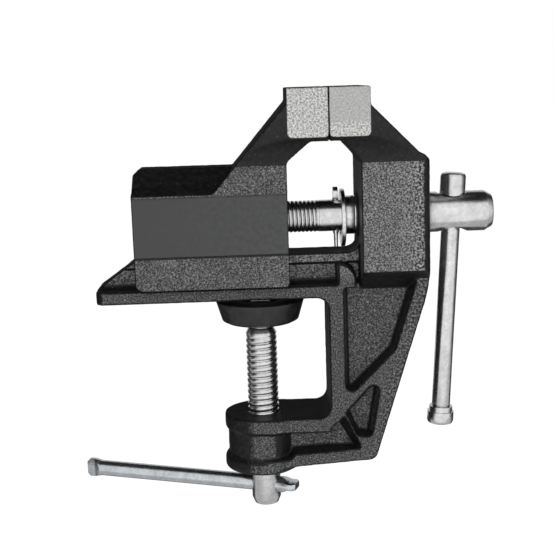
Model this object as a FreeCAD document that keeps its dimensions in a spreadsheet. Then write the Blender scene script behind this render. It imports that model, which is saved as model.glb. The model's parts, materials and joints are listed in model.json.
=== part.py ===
"""Clamp-on bench vise with 60 mm jaws, as a parametric FreeCAD document.

Frame of the model: X runs along the main screw towards its T-bar, Z is up, and Y runs
from the front side to the back side. The origin is where the clamp screw's axis meets
the underside of the plate, the face that rests on a bench top.
"""
import FreeCAD, Part
import math
import os
import re
import Sketcher

Vector = FreeCAD.Vector
Rotation = FreeCAD.Rotation
Placement = FreeCAD.Placement

doc = FreeCAD.newDocument("bench_vise")
sheet = doc.addObject("Spreadsheet::Sheet", "Sizes")

# Driving sizes, in mm and degrees
SIZES = {
    # frame casting: plate, C-shaped frame, boss
    "frame_width": 37.0,
    "plate_end": -81.0,
    "plate_thick": 6.5,
    "plate_corner": 5.0,
    "window_side": 33.8,
    "window_corner": 6.0,
    "arm_top": -61.6,
    "arm_root_side": 17.0,
    "arm_root_depth": -86.8,
    "heel_side": 56.2,
    "heel_depth": -84.4,
    "heel_round": 4.5,
    "spine_bend": 60.0,
    "spine_bend_height": 4.7,
    "inner_flange": 7.8,
    "outer_flange": 7.6,
    "pocket_depth": 7.5,
    "pocket_draft": 12.0,
    "pocket_round": 3.0,
    "brace_high": -27.4,
    "brace_low": -52.4,
    "corner_pocket_round": 1.8,
    "corner_pocket_peak": -39.1,
    "corner_pocket_flange": 10.4,
    "corner_pocket_side": 41.1,
    "corner_pocket_mid": -59.4,
    "corner_pocket_foot_side": 46.4,
    "corner_pocket_foot": -71.3,
    "corner_pocket_heel_side": 54.2,
    "corner_pocket_low": -72.8,
    "arm_pocket_start": 15.3,
    "arm_pocket_end": 37.5,
    "arm_pocket_top": -69.0,
    "arm_pocket_low": -80.2,
    "knuckle_side": 41.2,
    "knuckle_height": -60.9,
    "knuckle_turn": -29.2,
    "knuckle_wide": 4.6,
    "knuckle_root": 34.0,
    "knuckle_root_height": -67.2,
    "lug_start": 39.0,
    "lug_end": 47.6,
    "lug_low": 4.5,
    "lug_round": 8.0,
    "boss_rim": 18.5,
    "boss_waist": 17.2,
    "boss_foot": 19.0,
    "boss_bottom": -90.5,
    "boss_band": 7.0,
    # rail under the moving jaw
    "rail_top": 21.4,
    "rail_head": 4.8,
    "rail_head_width": 22.0,
    "rail_neck_width": 16.0,
    "rail_root_round": 3.0,
    "rail_ramp": 21.1,
    "gusset": 6.4,
    # both jaws
    "jaw_width": 60.0,
    "jaw_top": 102.8,
    "jaw_head_low": 79.4,
    "jaw_head_thick": 19.8,
    "jaw_line": 35.4,
    "jaw_gap": 0.1,
    "body_width": 48.0,
    "body_shoulder": 65.6,
    "throat_top": 77.5,
    "throat_low": 67.6,
    "throat_round": 3.0,
    # fixed jaw
    "block_left": 50.7,
    "block_right": 84.3,
    "block_low": 12.9,
    "skirt_low": 2.9,
    "fixed_throat": 42.0,
    "fixed_slope_top": 94.2,
    "ledge_side": 78.9,
    "ledge_height": 70.7,
    "ledge_end": 81.4,
    "ledge_edge": 69.6,
    "back_height": 66.8,
    # moving jaw
    "jaw_end": -60.3,
    "jaw_back": 15.0,
    "jaw_foot": 7.0,
    "foot_round_outer": 4.0,
    "foot_round_inner": 2.0,
    "nose_bevel": 2.8,
    "barrel_edge": 53.8,
    "barrel_mid": 57.2,
    "barrel_mid_half": 17.0,
    "barrel_top_half": 8.0,
    "column_foot": -21.1,
    "moving_throat": 26.4,
    "moving_slope_top": 96.2,
    "panel_low": 23.6,
    "panel_sink": 0.4,
    "slide_gap": 0.15,
    "lip_chamfer": 3.1,
    "core_start": -52.0,
    "core_half": 15.0,
    "core_top": 52.0,
    "core_round": 6.0,
    "screw_room": 9.2,
    # main screw and the pieces on it
    "screw_height": 38.8,
    "screw_dia": 16.0,
    "screw_tip": -50.0,
    "tip_bevel": 1.5,
    "shank_dia": 15.9,
    "shank_start": 31.0,
    "screw_fit": 0.04,
    "head_dia": 20.4,
    "head_end": 117.8,
    "head_bevel": 3.7,
    "stack_gap": 0.12,
    "spot_dia": 22.0,
    "spot_rise": 1.2,
    "shim_dia": 19.6,
    "shim_thick": 0.8,
    "collar_dia": 19.4,
    "collar_long": 4.5,
    "washer_dia": 29.0,
    "washer_hole": 18.4,
    "washer_thick": 2.0,
    "pin_place": 39.5,
    "pin_dia": 3.0,
    "pin_hole": 3.4,
    "pin_eye": 2.1,
    "pin_wire": 1.2,
    "pin_eye_height": 11.1,
    "pin_leg": 7.0,
    "pin_spread": 9.0,
    "nut_dia": 24.0,
    "nut_long": 22.0,
    "nut_fit": 0.02,
    "nut_inset": 0.3,
    "lock_pin_dia": 4.0,
    "lock_pin_depth": 3.0,
    # T-bar of the main screw
    "bar_dia": 9.4,
    "bar_hole": 10.9,
    "bar_place": 98.0,
    "bar_lean": 3.3,
    "bar_low": 106.0,
    "bar_high": 15.0,
    "seat_low": 6.2,
    "seat_dia": 13.8,
    "seat_mouth": 16.6,
    "seat_high": 12.0,
    "cap_dia": 12.8,
    "cap_foot_dia": 11.2,
    "cap_low": 6.8,
    "cap_shoulder": 8.6,
    "cap_high": 19.5,
    "cap_round": 1.8,
    "cap_fit": 0.02,
    "knob_dia": 13.6,
    "knob_top": 101.6,
    "knob_end": 110.8,
    "knob_shoulder_dia": 12.0,
    "knob_shoulder": 2.6,
    # clamp screw, its bar and its swivel pad
    "clamp_dia": 16.0,
    "clamp_fit": 0.05,
    "clamp_shoulder": -17.2,
    "clamp_cone_dia": 13.0,
    "clamp_cone": 3.0,
    "clamp_neck_dia": 10.8,
    "clamp_tip_dia": 10.2,
    "clamp_end": -3.6,
    "clamp_head_top": -91.4,
    "clamp_head_dia": 15.0,
    "clamp_head_low": -112.6,
    "clamp_head_round": 4.5,
    "ring_top": -4.6,
    "ring_thick": 1.6,
    "ring_dia": 17.2,
    "ring_fit": 0.02,
    "pad_top": -2.7,
    "pad_low": -14.0,
    "pad_top_dia": 45.0,
    "pad_low_dia": 38.4,
    "pad_rim": 2.0,
    "pad_hub": 2.2,
    "pad_hub_dia": 20.0,
    "pad_hub_end_dia": 17.4,
    "pad_hole": 12.8,
    "pad_recess_dia": 20.0,
    "pad_recess": 4.45,
    "clamp_bar_dia": 8.4,
    "clamp_bar_hole": 8.6,
    "clamp_bar_height": -101.5,
    "clamp_bar_turn": -19.7,
    "clamp_bar_start": -104.5,
    "clamp_bar_end": 17.0,
    "crimp_long": 8.4,
    "crimp_thick": 3.2,
    "crimp_wide": 10.2,
    "crimp_round": 1.5,
}

for row, (alias, value) in enumerate(SIZES.items(), start=1):
    sheet.set("A%d" % row, alias)
    sheet.set("B%d" % row, str(value))
    sheet.setAlias("B%d" % row, alias)
doc.recompute()

WORD = re.compile(r"\b(" + "|".join(sorted(SIZES, key=len, reverse=True)) + r")\b")


def formula(text):
    """The expression FreeCAD reads for text such as "plate_thick + 1"."""
    return WORD.sub(r"Sizes.\1", str(text))


def number(text):
    """The value such an expression has now."""
    return float(sheet.evalExpression(formula(text)))


def bind(item, prop, text):
    item.setExpression(prop, formula(text))


def bind_place(item, place):
    for letter, text in zip("xyz", place):
        bind(item, "Placement.Base." + letter, text)


def bind_turn(item, axis, text):
    """Turns an object about an axis through its own origin, by an angle from the sheet."""
    item.Placement = Placement(item.Placement.Base, Rotation(axis, number(text)))
    bind(item, "Placement.Rotation.Angle", text)


# ------------------------------------------------------------------ sketches
def corner_arc(before, corner, after, radius):
    """Where a round leaves both sides of a corner, and the round's centre."""
    back = (before - corner).normalize()
    ahead = (after - corner).normalize()
    half = math.acos(max(-1.0, min(1.0, back.dot(ahead)))) / 2
    reach = radius / math.tan(half)
    centre = corner + (back + ahead).normalize() * (radius / math.sin(half))
    return corner + back * reach, corner + ahead * reach, centre


def draw_outline(sketch, corners):
    """Fills a sketch with a closed outline.

    Each corner is (across, up) or (across, up, radius). All three are expressions on the
    sheet, and each becomes a dimension bound to its expression.
    """
    count = len(corners)
    spots = [Vector(number(c[0]), number(c[1]), 0) for c in corners]
    ends = []
    for i, corner in enumerate(corners):
        if len(corner) == 3:
            after = spots[(i + 1) % count]
            ends.append(corner_arc(spots[i - 1], spots[i], after, number(corner[2])))
        else:
            ends.append((spots[i], spots[i], None))
    sides = [Part.LineSegment(ends[i][1], ends[(i + 1) % count][0]) for i in range(count)]
    sketch.addGeometry(sides, False)
    rules = []
    bound = []

    def dimension(kind, where, text):
        bound.append((len(rules), text))
        rules.append(Sketcher.Constraint(kind, *where, number(text)))

    for i, corner in enumerate(corners):
        last = (i - 1) % count
        start, end, centre = ends[i]
        if centre is None:
            if len(corners[last]) == 2 or len(corners[i]) == 2:
                rules.append(Sketcher.Constraint("Coincident", last, 2, i, 1))
            dimension("DistanceX", (-1, 1, i, 1), corner[0])
            dimension("DistanceY", (-1, 1, i, 1), corner[1])
            continue
        first = start - centre
        second = end - centre
        circle = Part.Circle(centre, Vector(0, 0, 1), first.Length)
        angles = [math.atan2(first.y, first.x), math.atan2(second.y, second.x)]
        order = (1, 2)
        if first.cross(second).z < 0:
            angles.reverse()
            order = (2, 1)
        arc = sketch.addGeometry(Part.ArcOfCircle(circle, *angles), False)
        spot = sketch.addGeometry(Part.Point(spots[i]), True)
        rules.append(Sketcher.Constraint("Tangent", last, 2, arc, order[0]))
        rules.append(Sketcher.Constraint("Tangent", i, 1, arc, order[1]))
        rules.append(Sketcher.Constraint("PointOnObject", spot, 1, last))
        rules.append(Sketcher.Constraint("PointOnObject", spot, 1, i))
        dimension("DistanceX", (-1, 1, spot, 1), corner[0])
        dimension("DistanceY", (-1, 1, spot, 1), corner[1])
        dimension("Radius", (arc,), corner[2])
    sketch.addConstraint(rules)
    for index, text in bound:
        bind(sketch, "Constraints[%d]" % index, text)


def mirrored(half):
    """A whole outline from its right half, listed from the bottom to the top."""
    return list(half) + [("-(%s)" % c[0],) + tuple(c[1:]) for c in reversed(half)]


# ------------------------------------------------------------------ solids
# for each plane of an outline: how the sketch turns, the letter and direction of its normal
PLANES = {
    "XZ": (Rotation(Vector(1, 0, 0), 90), "y", Vector(0, 1, 0)),
    "YZ": (Rotation(Vector(1, 1, 1), 120), "x", Vector(1, 0, 0)),
    "XY": (Rotation(), "z", Vector(0, 0, 1)),
}
TURNS = {"X": Rotation(Vector(0, 1, 0), 90), "Z": Rotation()}


def prism(name, plane, corners, start, end, draft=None):
    """An outline pushed along its plane's normal, from the start level to the end level."""
    turn, letter, normal = PLANES[plane]
    sketch = doc.addObject("Sketcher::SketchObject", name + "_outline")
    sketch.Placement = Placement(Vector(), turn)
    bind(sketch, "Placement.Base." + letter, start)
    draw_outline(sketch, corners)
    solid = doc.addObject("Part::Extrusion", name)
    solid.Base = sketch
    solid.DirMode = "Custom"
    solid.Dir = normal
    solid.Solid = True
    bind(solid, "LengthFwd", "(%s) - (%s)" % (end, start))
    if draft:
        bind(solid, "TaperAngle", "-(%s)" % draft)
    return solid


def cylinder(name, axis, radius, length, place):
    solid = doc.addObject("Part::Cylinder", name)
    solid.Placement = Placement(Vector(), TURNS[axis])
    bind(solid, "Radius", radius)
    bind(solid, "Height", length)
    bind_place(solid, place)
    return solid


def cone(name, radius, end_radius, length, place):
    solid = doc.addObject("Part::Cone", name)
    bind(solid, "Radius1", radius)
    bind(solid, "Radius2", end_radius)
    bind(solid, "Height", length)
    bind_place(solid, place)
    return solid


def join(name, *solids):
    whole = doc.addObject("Part::MultiFuse", name)
    whole.Shapes = list(solids)
    whole.Refine = True
    return whole


def overlap(name, *solids):
    whole = doc.addObject("Part::MultiCommon", name)
    whole.Shapes = list(solids)
    whole.Refine = True
    return whole


def cut(name, base, *tools):
    whole = doc.addObject("Part::Cut", name)
    whole.Base = base
    whole.Tool = tools[0] if len(tools) == 1 else join(name + "_tools", *tools)
    whole.Refine = True
    return whole


def twin(name, solid):
    """The mirror image of a solid across the mid-plane Y = 0."""
    other = doc.addObject("Part::Mirroring", name)
    other.Source = solid
    other.Normal = Vector(0, 1, 0)
    return other


def softened(radius, level, size, inward):
    """A turned piece's outer corner, broken by two flats. inward is 1 if it lies below them."""
    near = "(%s) * 0.29" % size
    corner = [
        ("%s - (%s)" % (radius, size), level),
        ("%s - %s" % (radius, near), "%s + %d * %s" % (level, inward, near)),
        (radius, "%s + %d * (%s)" % (level, inward, size)),
    ]
    return corner if inward > 0 else corner[::-1]


def turned(name, axis, corners, place=("0", "0", "0"), lean=None):
    """A body turned about its own X or Z axis, from half an outline in its XZ plane."""
    body = doc.addObject("PartDesign::Body", name)
    sketch = body.newObject("Sketcher::SketchObject", name + "_half")
    side = next(f for f in body.Origin.OriginFeatures if f.Role == "XZ_Plane")
    sketch.AttachmentSupport = [(side, "")]
    sketch.MapMode = "FlatFace"
    draw_outline(sketch, corners)
    spin = body.newObject("PartDesign::Revolution", name + "_turn")
    spin.Profile = sketch
    spin.ReferenceAxis = (sketch, ["H_Axis" if axis == "X" else "V_Axis"])
    spin.Angle = 360
    if lean:
        bind_turn(body, Vector(0, 1, 0), lean)
    bind_place(body, place)
    return body


# ------------------------------------------------------------------ frame casting
HALF_FRAME = "frame_width / 2"
HALF_BODY = "body_width / 2"
HALF_JAW = "jaw_width / 2"
SPINE_SLOPE = "((block_right - heel_side) / (spine_bend_height - heel_depth))"
SPINE_FOOT = "-8"


def spine_edge(height):
    """How far out the spine's sloping outer edge is at a height."""
    return "(block_right - (spine_bend_height - (%s)) * %s)" % (height, SPINE_SLOPE)


def jaw_section(*bottom):
    """The section across X of both jaws: a plain body, then coves that widen to the head."""
    rise = "(jaw_head_low - body_shoulder)"
    reach = "(%s - %s)" % (HALF_JAW, HALF_BODY)
    chord = "(%s ^ 2 + %s ^ 2)" % (rise, reach)
    start = "body_shoulder + %s / (2 * %s)" % (chord, rise)
    cove = [
        (HALF_BODY, start, "0.95 * %s / (2 * %s)" % (chord, reach)),
        (HALF_JAW, "jaw_head_low"),
        (HALF_JAW, "jaw_top"),
    ]
    return mirrored(list(bottom) + cove)


def both_sides(name, corners):
    """A pocket with drafted walls, sunk into both side faces of the frame."""
    floor = "-%s + pocket_depth" % HALF_FRAME
    near = prism(name, "XZ", corners, "-" + HALF_FRAME, floor, draft="pocket_draft")
    return [near, twin(name + "_back", near)]


side_view = prism(
    "frame_side_view",
    "XZ",
    [
        ("plate_end", "0"),
        ("window_side", "0", "window_corner"),
        ("window_side", "arm_top", "window_corner"),
        ("0", "arm_top"),
        ("0", "boss_bottom + 0.6"),
        ("arm_root_side", "arm_root_depth"),
        ("heel_side", "heel_depth", "heel_round"),
        ("block_right", "spine_bend_height", "spine_bend"),
        ("block_right", "rail_top - rail_head"),
        ("block_left + 1", "rail_top - rail_head"),
        ("block_left + 1", "plate_thick"),
        ("plate_end", "plate_thick"),
    ],
    "-" + HALF_FRAME,
    HALF_FRAME,
)
plan_view = prism(
    "frame_plan_view",
    "XY",
    [
        ("plate_end", "-" + HALF_FRAME, "plate_corner"),
        ("block_right", "-" + HALF_FRAME),
        ("block_right", HALF_FRAME),
        ("plate_end", HALF_FRAME, "plate_corner"),
    ],
    "boss_bottom",
    "rail_top",
)
pocket_left = "window_side + inner_flange"
pocket_top = "block_low - 1"
upper_pocket = both_sides(
    "upper_pocket",
    [
        (pocket_left, pocket_top, "pocket_round"),
        (pocket_left, "brace_low", "pocket_round"),
        ("%s - outer_flange" % spine_edge("brace_high"), "brace_high", "pocket_round"),
        ("%s - outer_flange" % spine_edge(pocket_top), pocket_top, "pocket_round"),
    ],
)
small_round = "corner_pocket_round"
corner_pocket = both_sides(
    "corner_pocket",
    [
        (
            "%s - corner_pocket_flange" % spine_edge("corner_pocket_peak"),
            "corner_pocket_peak",
            "pocket_round",
        ),
        ("corner_pocket_side", "corner_pocket_mid", small_round),
        ("corner_pocket_foot_side", "corner_pocket_foot", small_round),
        ("corner_pocket_heel_side", "corner_pocket_low", "pocket_round"),
    ],
)
arm_pocket = both_sides(
    "arm_pocket",
    [
        ("-4", "arm_pocket_top"),
        ("-4", "boss_bottom + boss_band + 0.5"),
        ("arm_pocket_start - 2.3", "boss_bottom + boss_band + 0.5"),
        ("arm_pocket_start", "arm_pocket_low"),
        ("arm_pocket_end + 6", "arm_pocket_low + 1.4", small_round),
        ("arm_pocket_end", "arm_pocket_top"),
    ],
)
knuckle_region = prism(
    "knuckle_region",
    "XZ",
    [
        ("knuckle_side", "knuckle_height"),
        ("knuckle_root", "knuckle_root_height"),
        ("knuckle_root", "arm_pocket_low + 2"),
        ("knuckle_side + 7.6", "arm_pocket_low + 2"),
    ],
    "-%s - 1" % HALF_FRAME,
    "-%s + pocket_depth" % HALF_FRAME,
)
knuckle_slope = prism(
    "knuckle_slope",
    "XY",
    [
        ("knuckle_wide / pocket_depth", "-%s - 1" % HALF_FRAME),
        ("-knuckle_wide", "-%s + pocket_depth" % HALF_FRAME),
        ("-knuckle_wide - 20", "-%s + pocket_depth" % HALF_FRAME),
        ("-knuckle_wide - 20", "-%s - 1" % HALF_FRAME),
    ],
    "-30",
    "30",
)
bind_turn(knuckle_slope, Vector(0, 1, 0), "knuckle_turn")
bind_place(knuckle_slope, ("knuckle_side", "0", "knuckle_height"))
knuckle = overlap("knuckle", knuckle_region, knuckle_slope)
ribbed_frame = cut(
    "ribbed_frame",
    overlap("rounded_frame", side_view, plan_view),
    *(upper_pocket + corner_pocket + arm_pocket),
    knuckle,
    twin("knuckle_back", knuckle),
)
lug = prism(
    "lug",
    "XZ",
    [
        ("lug_start", "lug_low"),
        ("lug_end", "lug_low"),
        ("lug_end", "rail_top - rail_head", "lug_round"),
        ("lug_start", "rail_top - rail_head"),
    ],
    "-" + HALF_FRAME,
    HALF_FRAME,
)
rail_section = prism(
    "rail_section",
    "YZ",
    mirrored(
        [
            ("rail_neck_width / 2 + rail_root_round * 1.02", "plate_thick - 1"),
            ("rail_neck_width / 2 + rail_root_round * 1.02", "plate_thick"),
            ("rail_neck_width / 2", "plate_thick", "rail_root_round"),
            ("rail_neck_width / 2", "rail_top - rail_head"),
            ("rail_head_width / 2", "rail_top - rail_head"),
            ("rail_head_width / 2", "rail_top"),
        ]
    ),
    "plate_end",
    "block_left + 1",
)
rail_side_view = prism(
    "rail_side_view",
    "XZ",
    [
        ("plate_end", "plate_thick - 1"),
        ("block_left + 1", "plate_thick - 1"),
        ("block_left + 1", "rail_top"),
        ("plate_end + rail_ramp", "rail_top"),
        ("plate_end", "plate_thick"),
    ],
    "-" + HALF_FRAME,
    HALF_FRAME,
)
rail = overlap("rail", rail_section, rail_side_view)
gusset = prism(
    "gusset",
    "XZ",
    [
        ("block_left - gusset * 1.02", "rail_top"),
        ("block_left", "rail_top", "gusset"),
        ("block_left", "rail_top + gusset * 1.02"),
        ("block_left + 1", "rail_top + gusset * 1.02"),
        ("block_left + 1", "rail_top - 1"),
        ("block_left - gusset * 1.02", "rail_top - 1"),
    ],
    "-rail_head_width / 2",
    "rail_head_width / 2",
)
head_back = "jaw_line + jaw_head_thick"
fixed_side_view = prism(
    "fixed_side_view",
    "XZ",
    [
        ("block_left", SPINE_FOOT),
        (spine_edge(SPINE_FOOT), SPINE_FOOT),
        ("block_right", "spine_bend_height", "spine_bend"),
        ("block_right", "back_height"),
        ("ledge_end", "ledge_edge"),
        ("ledge_side", "ledge_height"),
        (head_back, "fixed_slope_top"),
        (head_back, "jaw_top"),
        ("jaw_line + jaw_gap", "jaw_top"),
        ("jaw_line + jaw_gap", "throat_top"),
        ("fixed_throat", "throat_top", "throat_round"),
        ("block_left", "throat_low", "throat_round"),
    ],
    "-" + HALF_JAW,
    HALF_JAW,
)
fixed_section = prism(
    "fixed_section",
    "YZ",
    jaw_section((HALF_FRAME + " - pocket_depth", "skirt_low"), (HALF_BODY, "block_low")),
    "jaw_line",
    "block_right",
)
block_round = "(body_width - frame_width) / 2"
fixed_plan_view = prism(
    "fixed_plan_view",
    "XY",
    [
        ("jaw_line", "-" + HALF_JAW),
        (head_back, "-" + HALF_JAW),
        ("ledge_side", "-" + HALF_BODY),
        ("block_right", "-" + HALF_BODY, block_round + " * 0.98"),
        ("block_right", HALF_BODY, block_round + " * 0.98"),
        ("ledge_side", HALF_BODY),
        (head_back, HALF_JAW),
        ("jaw_line", HALF_JAW),
    ],
    SPINE_FOOT,
    "jaw_top",
)
fixed_jaw = overlap("fixed_jaw", fixed_side_view, fixed_section, fixed_plan_view)
boss = doc.addObject("Part::Revolution", "boss")
boss.Source = doc.addObject("Sketcher::SketchObject", "boss_half")
boss.Source.Placement = Placement(Vector(), PLANES["XZ"][0])
draw_outline(
    boss.Source,
    [
        ("0", "boss_bottom"),
        ("boss_foot - 1.2", "boss_bottom"),
        ("boss_foot", "boss_bottom + 1.2"),
        ("boss_foot", "boss_bottom + boss_band - 1"),
        ("boss_waist", "boss_bottom + boss_band + 1"),
        ("boss_waist", "arm_top - boss_band - 1"),
        ("boss_rim", "arm_top - boss_band"),
        ("boss_rim", "arm_top"),
        ("0", "arm_top"),
    ],
)
boss.Axis = Vector(0, 0, 1)
boss.Angle = 360
boss.Solid = True
spot_face = cylinder(
    "spot_face",
    "X",
    "spot_dia / 2",
    "spot_rise + 1",
    ("block_left - spot_rise", "0", "screw_height"),
)
shank_bore = cylinder(
    "shank_bore",
    "X",
    "shank_dia / 2 + screw_fit",
    "block_right - block_left + 20",
    ("block_left - 10", "0", "screw_height"),
)
clamp_bore = cylinder(
    "clamp_bore",
    "Z",
    "clamp_dia / 2 + clamp_fit",
    "arm_top - boss_bottom + 10",
    ("0", "0", "boss_bottom - 5"),
)
frame_casting = cut(
    "frame_casting",
    join("frame_rough", ribbed_frame, lug, rail, gusset, fixed_jaw, boss, spot_face),
    shank_bore,
    clamp_bore,
)

# ------------------------------------------------------------------ moving jaw
barrel_side_view = prism(
    "barrel_side_view",
    "XZ",
    [
        ("jaw_end", "jaw_foot", "foot_round_outer"),
        ("jaw_back", "jaw_foot", "foot_round_inner"),
        ("jaw_back", "body_shoulder"),
        ("jaw_end + nose_bevel", "body_shoulder"),
        ("jaw_end", "body_shoulder - nose_bevel"),
    ],
    "-" + HALF_BODY,
    HALF_BODY,
)
barrel_section = prism(
    "barrel_section",
    "YZ",
    mirrored(
        [
            (HALF_BODY, "jaw_foot"),
            (HALF_BODY, "barrel_edge"),
            ("barrel_mid_half", "barrel_mid"),
            ("barrel_top_half", "body_shoulder"),
        ]
    ),
    "jaw_end",
    "jaw_back",
)
jaw_barrel = overlap("jaw_barrel", barrel_side_view, barrel_section)
head_front = "jaw_line - jaw_head_thick"
column_side_view = prism(
    "column_side_view",
    "XZ",
    [
        ("column_foot", "screw_height"),
        ("jaw_back", "screw_height"),
        ("jaw_back", "throat_low", "throat_round"),
        ("moving_throat", "throat_top", "throat_round"),
        ("jaw_line - jaw_gap", "throat_top"),
        ("jaw_line - jaw_gap", "jaw_top"),
        (head_front, "jaw_top"),
        (head_front, "moving_slope_top"),
        ("column_foot", "barrel_edge"),
    ],
    "-" + HALF_JAW,
    HALF_JAW,
)
column_section = prism(
    "column_section",
    "YZ",
    jaw_section((HALF_BODY, "screw_height")),
    "column_foot",
    "jaw_line",
)
cheek_foot = "column_foot + 10"
column_plan_view = prism(
    "column_plan_view",
    "XY",
    [
        ("column_foot", "-" + HALF_BODY),
        (cheek_foot, "-" + HALF_BODY),
        (head_front, "-" + HALF_JAW),
        ("jaw_line", "-" + HALF_JAW),
        ("jaw_line", HALF_JAW),
        (head_front, HALF_JAW),
        (cheek_foot, HALF_BODY),
        ("column_foot", HALF_BODY),
    ],
    "screw_height",
    "jaw_top",
)
jaw_column = overlap("jaw_column", column_side_view, column_section, column_plan_view)
slot_neck = "rail_neck_width / 2 + slide_gap"
slot_head = "rail_head_width / 2 + slide_gap"
rail_slot = prism(
    "rail_slot",
    "YZ",
    mirrored(
        [
            (slot_neck + " + lip_chamfer + 1", "jaw_foot - 1"),
            (slot_neck, "jaw_foot + lip_chamfer"),
            (slot_neck, "rail_top - rail_head - slide_gap"),
            (slot_head, "rail_top - rail_head - slide_gap"),
            (slot_head, "rail_top + slide_gap"),
        ]
    ),
    "jaw_end - 1",
    "jaw_back + 1",
)
nut_start = "(jaw_back - nut_inset - nut_long)"
core = prism(
    "core",
    "XZ",
    [
        ("core_start", "rail_top"),
        (nut_start + " - 1", "rail_top"),
        (nut_start + " - 1", "core_top", "core_round"),
        ("core_start", "core_top", "core_round"),
    ],
    "-core_half",
    "core_half",
)
nut_bore = cylinder(
    "nut_bore",
    "X",
    "nut_dia / 2 + nut_fit",
    "nut_long + nut_inset + 1",
    (nut_start + " - nut_fit", "0", "screw_height"),
)
screw_passage = cylinder(
    "screw_passage", "X", "screw_room", "4", (nut_start + " - 3", "0", "screw_height")
)
lock_place = ("jaw_back - nut_inset - nut_long / 2", "0", "rail_top + slide_gap")
lock_long = "(screw_height - nut_dia / 2 + lock_pin_depth - rail_top - slide_gap)"


def lock_hole(name):
    """The room for the lock pin, from the slot's roof into the nut."""
    return cylinder(
        name, "Z", "lock_pin_dia / 2 + nut_fit", lock_long + " + nut_fit", lock_place
    )


panel = prism(
    "panel",
    "XZ",
    [
        ("jaw_end - 1", "panel_low"),
        ("jaw_back + 1", "panel_low"),
        ("jaw_back + 1", "barrel_edge - 1"),
        ("jaw_end - 1", "barrel_edge - 1"),
    ],
    "-%s - 1" % HALF_BODY,
    "-%s + panel_sink" % HALF_BODY,
)
moving_jaw = cut(
    "moving_jaw",
    join("jaw_rough", jaw_barrel, jaw_column),
    rail_slot,
    core,
    nut_bore,
    screw_passage,
    lock_hole("jaw_lock_hole"),
    panel,
    twin("panel_back", panel),
)
nut_ring = turned(
    "nut_ring",
    "X",
    [
        ("-nut_long", "screw_dia / 2 + screw_fit"),
        ("0", "screw_dia / 2 + screw_fit"),
        ("0", "nut_dia / 2"),
        ("-nut_long", "nut_dia / 2"),
    ],
    ("jaw_back - nut_inset", "0", "screw_height"),
)
jaw_nut = cut("jaw_nut", nut_ring, lock_hole("nut_lock_hole"))
nut_lock_pin = turned(
    "nut_lock_pin",
    "Z",
    [
        ("0", "0.2"),
        ("lock_pin_dia / 2", "0.2"),
        ("lock_pin_dia / 2", lock_long),
        ("0", lock_long),
    ],
    lock_place,
)

# ------------------------------------------------------------------ main screw
stack_face = "(block_left - spot_rise)"
shim_face = "(%s - stack_gap - shim_thick)" % stack_face
collar_face = "(%s - stack_gap - collar_long)" % shim_face
washer_face = "(%s - stack_gap - washer_thick)" % collar_face
head_start = "(block_right + stack_gap)"
screw_turned = turned(
    "screw_turned",
    "X",
    [
        ("screw_tip", "0"),
        ("head_end", "0"),
        ("head_end", "head_dia / 2 - head_bevel * 0.55"),
        ("head_end - head_bevel", "head_dia / 2"),
        (head_start, "head_dia / 2"),
        (head_start, "shank_dia / 2"),
        ("shank_start", "shank_dia / 2"),
        ("shank_start", "screw_dia / 2"),
        ("screw_tip + tip_bevel", "screw_dia / 2"),
        ("screw_tip", "screw_dia / 2 - tip_bevel"),
    ],
    ("0", "0", "screw_height"),
)
bar_passage = cylinder(
    "bar_passage", "Z", "bar_hole / 2", "30", ("bar_place", "0", "screw_height - 15")
)
seat_long = "seat_high - seat_low"
upper_seat = cone(
    "upper_seat",
    "seat_dia / 2",
    "seat_mouth / 2",
    seat_long,
    ("bar_place", "0", "screw_height + seat_low"),
)
lower_seat = cone(
    "lower_seat",
    "seat_mouth / 2",
    "seat_dia / 2",
    seat_long,
    ("bar_place", "0", "screw_height - seat_high"),
)
pin_passage = cylinder(
    "pin_passage", "Z", "pin_hole / 2", "20", ("pin_place", "0", "screw_height - 10")
)
main_screw = cut(
    "main_screw", screw_turned, bar_passage, upper_seat, lower_seat, pin_passage
)


def washer(name, start, thick, hole, outside, lift="screw_height"):
    """A flat ring on the main screw."""
    corners = [("0", hole), (thick, hole), (thick, outside), ("0", outside)]
    return turned(name, "X", corners, (start, "0", lift))


shank_hole = "shank_dia / 2 + screw_fit"
shim_washer = washer("shim_washer", shim_face, "shim_thick", shank_hole, "shim_dia / 2")
spacer_collar = washer(
    "spacer_collar", collar_face, "collar_long", shank_hole, "collar_dia / 2"
)
washer_lift = "screw_height - (washer_hole - shank_dia) / 2 + screw_fit"
thrust_washer = washer(
    "thrust_washer",
    washer_face,
    "washer_thick",
    "washer_hole / 2",
    "washer_dia / 2",
    washer_lift,
)

pin_eye_place = ("pin_place - pin_wire", "0", "screw_height + pin_eye_height")
pin_eye_loop = cut(
    "pin_eye_loop",
    cylinder("pin_eye_disc", "X", "pin_eye + pin_wire", "pin_wire * 2", pin_eye_place),
    cylinder("pin_eye_hole", "X", "pin_eye - pin_wire", "pin_wire * 2", pin_eye_place),
)
pin_shaft = cylinder(
    "pin_shaft",
    "Z",
    "pin_dia / 2",
    "screw_dia / 2 + 1 + pin_eye_height - pin_eye",
    ("pin_place", "0", "screw_height - screw_dia / 2 - 1"),
)


def pin_leg(name, side):
    """One of the split pin's two ends, spread below the screw."""
    leg = cone(
        name,
        "pin_wire",
        "pin_wire * 0.75",
        "pin_leg",
        ("pin_place", "%d * pin_wire / 3" % side, "screw_height - screw_dia / 2 - 0.9"),
    )
    bind_turn(leg, Vector(1, 0, 0), "180 + %d * pin_spread" % side)
    return leg


split_pin = join(
    "split_pin",
    pin_eye_loop,
    pin_shaft,
    pin_leg("pin_leg_back", 1),
    pin_leg("pin_leg_front", -1),
)

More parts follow.
